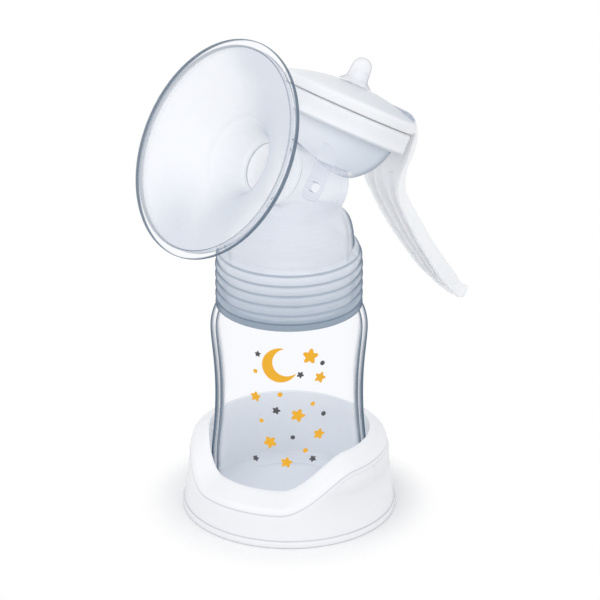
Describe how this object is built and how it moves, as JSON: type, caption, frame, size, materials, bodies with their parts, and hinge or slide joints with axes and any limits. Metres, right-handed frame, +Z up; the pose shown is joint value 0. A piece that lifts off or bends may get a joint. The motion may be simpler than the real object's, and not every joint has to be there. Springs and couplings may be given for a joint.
{
  "type": "manual breast pump",
  "caption": "Hand-operated breast pump: round stand, clear bottle with hand grips, ribbed screw collar, wide breast funnel, vacuum bowl with diaphragm, and a squeeze lever.",
  "frame": {"origin": "centre of the stand's foot, on the table", "axes": "+Z up along the bottle's axis, +X from the bottle to the hand lever, -X to the breast funnel, +Y to the funnel user's right as they look along +X"},
  "size_m": [0.1443, 0.0878, 0.1987],
  "materials": {
    "stand_white": "glossy",
    "clear_bottle": "clear",
    "clear_body": "clear",
    "smoky_bowl": "frosted",
    "milky_white": "translucent",
    "handle_white": "translucent",
    "pin_white": "glossy",
    "soft_silicone": "matt",
    "clear_silicone": "satin"
  },
  "bodies": {
    "stand": {"stand": "stand_white"},
    "bottle": {"bottle": "clear_bottle"},
    "seal": {"bottle_seal": "soft_silicone"},
    "pump": {"pump_body": "clear_body", "end_plug": "clear_body", "outlet_valve": "soft_silicone", "funnel": "clear_body", "funnel_cushion": "clear_silicone", "vacuum_bowl": "smoky_bowl", "bowl_seal": "soft_silicone", "diaphragm": "clear_silicone", "cap": "milky_white", "handle_pin": "pin_white"},
    "lever": {"handle": "handle_white"},
    "stem": {"stem": "milky_white", "stem_washer": "milky_white", "lift_collar": "milky_white", "pull_tab": "clear_silicone"}
  },
  "joints": [
    {"name": "bottle_lift", "type": "slide", "parent": "stand", "child": "bottle", "axis": [0, 0, 1], "range_m": [0, 0.06]},
    {"name": "pump_lift", "type": "slide", "parent": "bottle", "child": "seal", "axis": [0, 0, 1], "range_m": [0, 0.04]},
    {"name": "pump_turn", "type": "hinge", "parent": "seal", "child": "pump", "pos_m": [0, 0, 0.102], "axis": [0, 0, 1], "range_deg": [0, 270]},
    {"name": "handle_squeeze", "type": "hinge", "parent": "pump", "child": "lever", "pos_m": [0.05114, 0, 0.15022], "axis": [0, 1, 0], "range_deg": [0, 12], "stiffness_Nm_per_rad": 0.5, "springref_deg": -5.73},
    {"name": "stem_lift", "type": "slide", "parent": "pump", "child": "stem", "axis": [0.5, 0, 0.866], "range_m": [0, 0.0056], "deforming": ["diaphragm"]}
  ],
  "couplings": [
    {"joint": "stem_lift", "follows": "handle_squeeze", "m_per_rad": 0.0266}
  ]
}
